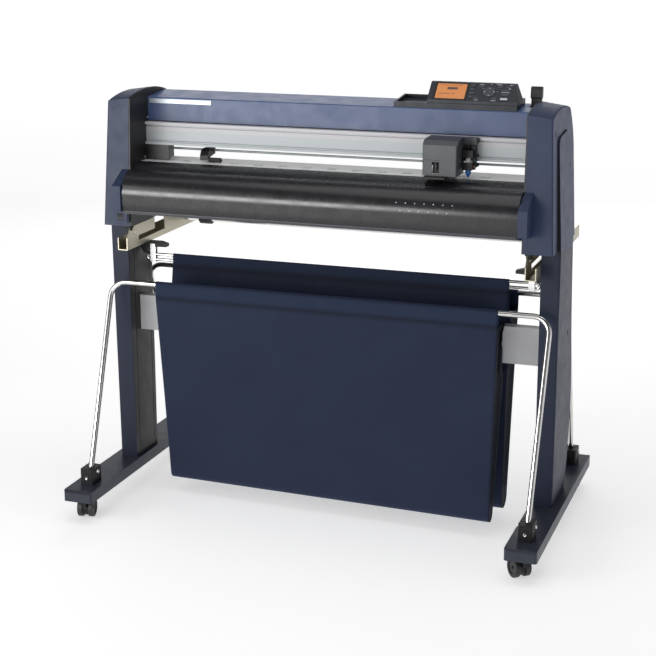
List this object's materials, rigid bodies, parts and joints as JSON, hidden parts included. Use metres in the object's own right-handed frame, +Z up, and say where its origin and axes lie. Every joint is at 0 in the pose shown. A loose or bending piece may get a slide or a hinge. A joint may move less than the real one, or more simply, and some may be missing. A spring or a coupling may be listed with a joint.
{
  "type": "printer cutter",
  "caption": "Floor-standing media cutter: travelling tool carriage over a platen, pinch rollers, control panel, two-column caster stand, roll holder and hanging cloth basket.",
  "frame": {"origin": "on the floor, at the middle of the whole machine's footprint box", "axes": "+X to the operator's right along the rail, -Y towards the operator, +Z up"},
  "size_m": [1.237, 0.7876, 1.125],
  "materials": {
    "aluminium": "clear anodised extrusion",
    "basket_fabric": "navy woven polyester",
    "black_plastic": "fine textured black moulding",
    "black_steel": "matt black painted steel",
    "bright_steel": "ground steel",
    "caster_rubber": "hard black tread",
    "charcoal_guide": "satin charcoal sheet metal",
    "chrome_tube": "polished chrome plated tube",
    "grey_paint": "satin light grey powder coat",
    "holder_blue": "blue plastic blade holder",
    "key_plastic": "satin dark key cap",
    "navy_cover": "satin moulded plastic, dark navy",
    "navy_paint": "satin powder-coated steel and moulded covers, dark navy",
    "platen_grey": "fine matt anodised strip",
    "roller_rubber": "black rubber",
    "screen": "lit orange display",
    "slate_cover": "satin moulded plastic, slate blue",
    "zinc_steel": "zinc plated sheet steel"
  },
  "bodies": {
    "machine": {"left_foot": "navy_paint", "right_foot": "navy_paint", "left_column": "black_steel", "right_column": "black_steel", "left_column_panel": "navy_paint", "right_column_panel": "navy_paint", "left_side_cover": "navy_cover", "right_side_cover": "navy_cover", "left_outer_panel": "navy_cover", "right_outer_panel": "navy_cover", "left_stocker_arm": "zinc_steel", "right_stocker_arm": "zinc_steel", "cross_beam": "grey_paint", "basket_clamps": "black_plastic", "rod_straps": "bright_steel", "front_basket_frame": "chrome_tube", "rear_basket_frame": "chrome_tube", "centre_basket_rod": "chrome_tube", "basket_cloth": "basket_fabric", "end_plates": "black_steel", "chassis_beam": "aluminium", "platen": "platen_grey", "front_guide": "charcoal_guide", "rear_guide": "charcoal_guide", "y_rail": "aluminium", "feed_motor": "black_steel", "carriage_motor": "black_steel", "top_cover": "slate_cover", "panel_housing": "navy_cover", "display": "screen"},
    "left_front_caster": {"left_front_caster_fork": "black_plastic"},
    "left_front_wheels": {"left_front_caster_wheels": "caster_rubber"},
    "right_front_caster": {"right_front_caster_fork": "black_plastic"},
    "right_front_wheels": {"right_front_caster_wheels": "caster_rubber"},
    "left_rear_caster": {"left_rear_caster_fork": "black_plastic"},
    "left_rear_wheels": {"left_rear_caster_wheels": "caster_rubber"},
    "right_rear_caster": {"right_rear_caster_fork": "black_plastic"},
    "right_rear_wheels": {"right_rear_caster_wheels": "caster_rubber"},
    "front_roll_shaft": {"front_roll_shaft": "aluminium"},
    "rear_roll_shaft": {"rear_roll_shaft": "aluminium"},
    "feed_shaft": {"feed_shaft": "bright_steel"},
    "carriage": {"carriage_base": "black_plastic", "carriage_cover": "black_plastic"},
    "drive_pulley": {"drive_pulley": "bright_steel"},
    "idler_pulley": {"idler_pulley": "bright_steel"},
    "tool": {"tool_slide": "black_plastic", "cutter_holder": "holder_blue"},
    "set_lever": {"set_lever": "black_plastic"},
    "left_pinch_arm": {"left_pinch_arm": "black_plastic"},
    "left_pinch_roller": {"left_pinch_roller": "roller_rubber"},
    "right_pinch_arm": {"right_pinch_arm": "black_plastic"},
    "right_pinch_roller": {"right_pinch_roller": "roller_rubber"},
    "soft_key_1": {"soft_key_1": "key_plastic"},
    "soft_key_2": {"soft_key_2": "key_plastic"},
    "soft_key_3": {"soft_key_3": "key_plastic"},
    "soft_key_4": {"soft_key_4": "key_plastic"},
    "arrow_pad": {"arrow_pad": "key_plastic"},
    "enter_key": {"enter_key": "key_plastic"},
    "pause_key": {"pause_key": "key_plastic"},
    "power_switch": {"power_switch": "black_plastic"}
  },
  "joints": [
    {"name": "left_front_caster_swivel", "type": "hinge", "parent": "machine", "child": "left_front_caster", "pos_m": [-0.57875, -0.35375, 0.058], "axis": [0, 0, 1], "continuous": true},
    {"name": "left_front_wheel_spin", "type": "hinge", "parent": "left_front_caster", "child": "left_front_wheels", "pos_m": [-0.58249, -0.33614, 0.025], "axis": [0.9781, 0.2079, 0], "continuous": true},
    {"name": "right_front_caster_swivel", "type": "hinge", "parent": "machine", "child": "right_front_caster", "pos_m": [0.57875, -0.35375, 0.058], "axis": [0, 0, 1], "continuous": true},
    {"name": "right_front_wheel_spin", "type": "hinge", "parent": "right_front_caster", "child": "right_front_wheels", "pos_m": [0.56718, -0.33996, 0.025], "axis": [0.766, 0.6428, 0], "continuous": true},
    {"name": "left_rear_caster_swivel", "type": "hinge", "parent": "machine", "child": "left_rear_caster", "pos_m": [-0.57875, 0.28125, 0.058], "axis": [0, 0, 1], "continuous": true},
    {"name": "left_rear_wheel_spin", "type": "hinge", "parent": "left_rear_caster", "child": "left_rear_wheels", "pos_m": [-0.57114, 0.29756, 0.025], "axis": [0.9063, -0.4226, 0], "continuous": true},
    {"name": "right_rear_caster_swivel", "type": "hinge", "parent": "machine", "child": "right_rear_caster", "pos_m": [0.57875, 0.28125, 0.058], "axis": [0, 0, 1], "continuous": true},
    {"name": "right_rear_wheel_spin", "type": "hinge", "parent": "right_rear_caster", "child": "right_rear_wheels", "pos_m": [0.57259, 0.29816, 0.025], "axis": [0.9397, 0.342, 0], "continuous": true},
    {"name": "front_roll_shaft_spin", "type": "hinge", "parent": "machine", "child": "front_roll_shaft", "pos_m": [0, 0.20375, 0.708], "axis": [1, 0, 0], "continuous": true},
    {"name": "rear_roll_shaft_spin", "type": "hinge", "parent": "machine", "child": "rear_roll_shaft", "pos_m": [0, 0.35975, 0.708], "axis": [1, 0, 0], "continuous": true},
    {"name": "feed_spin", "type": "hinge", "parent": "machine", "child": "feed_shaft", "pos_m": [0, -0.06425, 0.8953], "axis": [1, 0, 0], "continuous": true},
    {"name": "carriage_travel", "type": "slide", "parent": "machine", "child": "carriage", "axis": [1, 0, 0], "range_m": [-0.755, 0.13]},
    {"name": "drive_pulley_spin", "type": "hinge", "parent": "machine", "child": "drive_pulley", "pos_m": [0.542, 0.01175, 0.96], "axis": [0, 0, 1], "continuous": true},
    {"name": "idler_pulley_spin", "type": "hinge", "parent": "machine", "child": "idler_pulley", "pos_m": [-0.542, 0.01175, 0.96], "axis": [0, 0, 1], "continuous": true},
    {"name": "tool_drop", "type": "slide", "parent": "carriage", "child": "tool", "axis": [0, 0, -1], "range_m": [0, 0.0035], "stiffness_N_per_m": 400, "springref_m": -0.004},
    {"name": "lever_tilt", "type": "hinge", "parent": "machine", "child": "set_lever", "pos_m": [0.496, 0.02375, 1.054], "axis": [-1, 0, 0], "range_deg": [0, 45]},
    {"name": "left_pinch_lift", "type": "hinge", "parent": "machine", "child": "left_pinch_arm", "pos_m": [-0.347, -0.02425, 0.93], "axis": [-1, 0, 0], "range_deg": [0, 7.2]},
    {"name": "left_pinch_spin", "type": "hinge", "parent": "left_pinch_arm", "child": "left_pinch_roller", "pos_m": [-0.318, -0.06425, 0.9106], "axis": [1, 0, 0], "continuous": true},
    {"name": "right_pinch_lift", "type": "hinge", "parent": "machine", "child": "right_pinch_arm", "pos_m": [0.273, -0.02425, 0.93], "axis": [-1, 0, 0], "range_deg": [0, 7.2]},
    {"name": "right_pinch_spin", "type": "hinge", "parent": "right_pinch_arm", "child": "right_pinch_roller", "pos_m": [0.302, -0.06425, 0.9106], "axis": [1, 0, 0], "continuous": true},
    {"name": "soft_key_1_press", "type": "slide", "parent": "machine", "child": "soft_key_1", "axis": [0, 0.6811, -0.7322], "range_m": [0, 0.001], "stiffness_N_per_m": 300, "springref_m": -0.0004},
    {"name": "soft_key_2_press", "type": "slide", "parent": "machine", "child": "soft_key_2", "axis": [0, 0.6811, -0.7322], "range_m": [0, 0.001], "stiffness_N_per_m": 300, "springref_m": -0.0004},
    {"name": "soft_key_3_press", "type": "slide", "parent": "machine", "child": "soft_key_3", "axis": [0, 0.6811, -0.7322], "range_m": [0, 0.001], "stiffness_N_per_m": 300, "springref_m": -0.0004},
    {"name": "soft_key_4_press", "type": "slide", "parent": "machine", "child": "soft_key_4", "axis": [0, 0.6811, -0.7322], "range_m": [0, 0.001], "stiffness_N_per_m": 300, "springref_m": -0.0004},
    {"name": "arrow_pad_press", "type": "slide", "parent": "machine", "child": "arrow_pad", "axis": [0, 0.6811, -0.7322], "range_m": [0, 0.001], "stiffness_N_per_m": 300, "springref_m": -0.0004},
    {"name": "enter_key_press", "type": "slide", "parent": "machine", "child": "enter_key", "axis": [0, 0.6811, -0.7322], "range_m": [0, 0.001], "stiffness_N_per_m": 300, "springref_m": -0.0004},
    {"name": "pause_key_press", "type": "slide", "parent": "machine", "child": "pause_key", "axis": [0, 0.6811, -0.7322], "range_m": [0, 0.001], "stiffness_N_per_m": 300, "springref_m": -0.0004},
    {"name": "power_rock", "type": "hinge", "parent": "machine", "child": "power_switch", "pos_m": [-0.531, -0.18325, 0.771], "axis": [1, 0, 0], "range_deg": [-6, 6]}
  ],
  "couplings": [
    {"joint": "drive_pulley_spin", "follows": "carriage_travel", "rad_per_m": 100},
    {"joint": "idler_pulley_spin", "follows": "carriage_travel", "rad_per_m": 100},
    {"joint": "left_pinch_lift", "follows": "lever_tilt", "ratio": 0.15556},
    {"joint": "right_pinch_lift", "follows": "lever_tilt", "ratio": 0.15556}
  ]
}
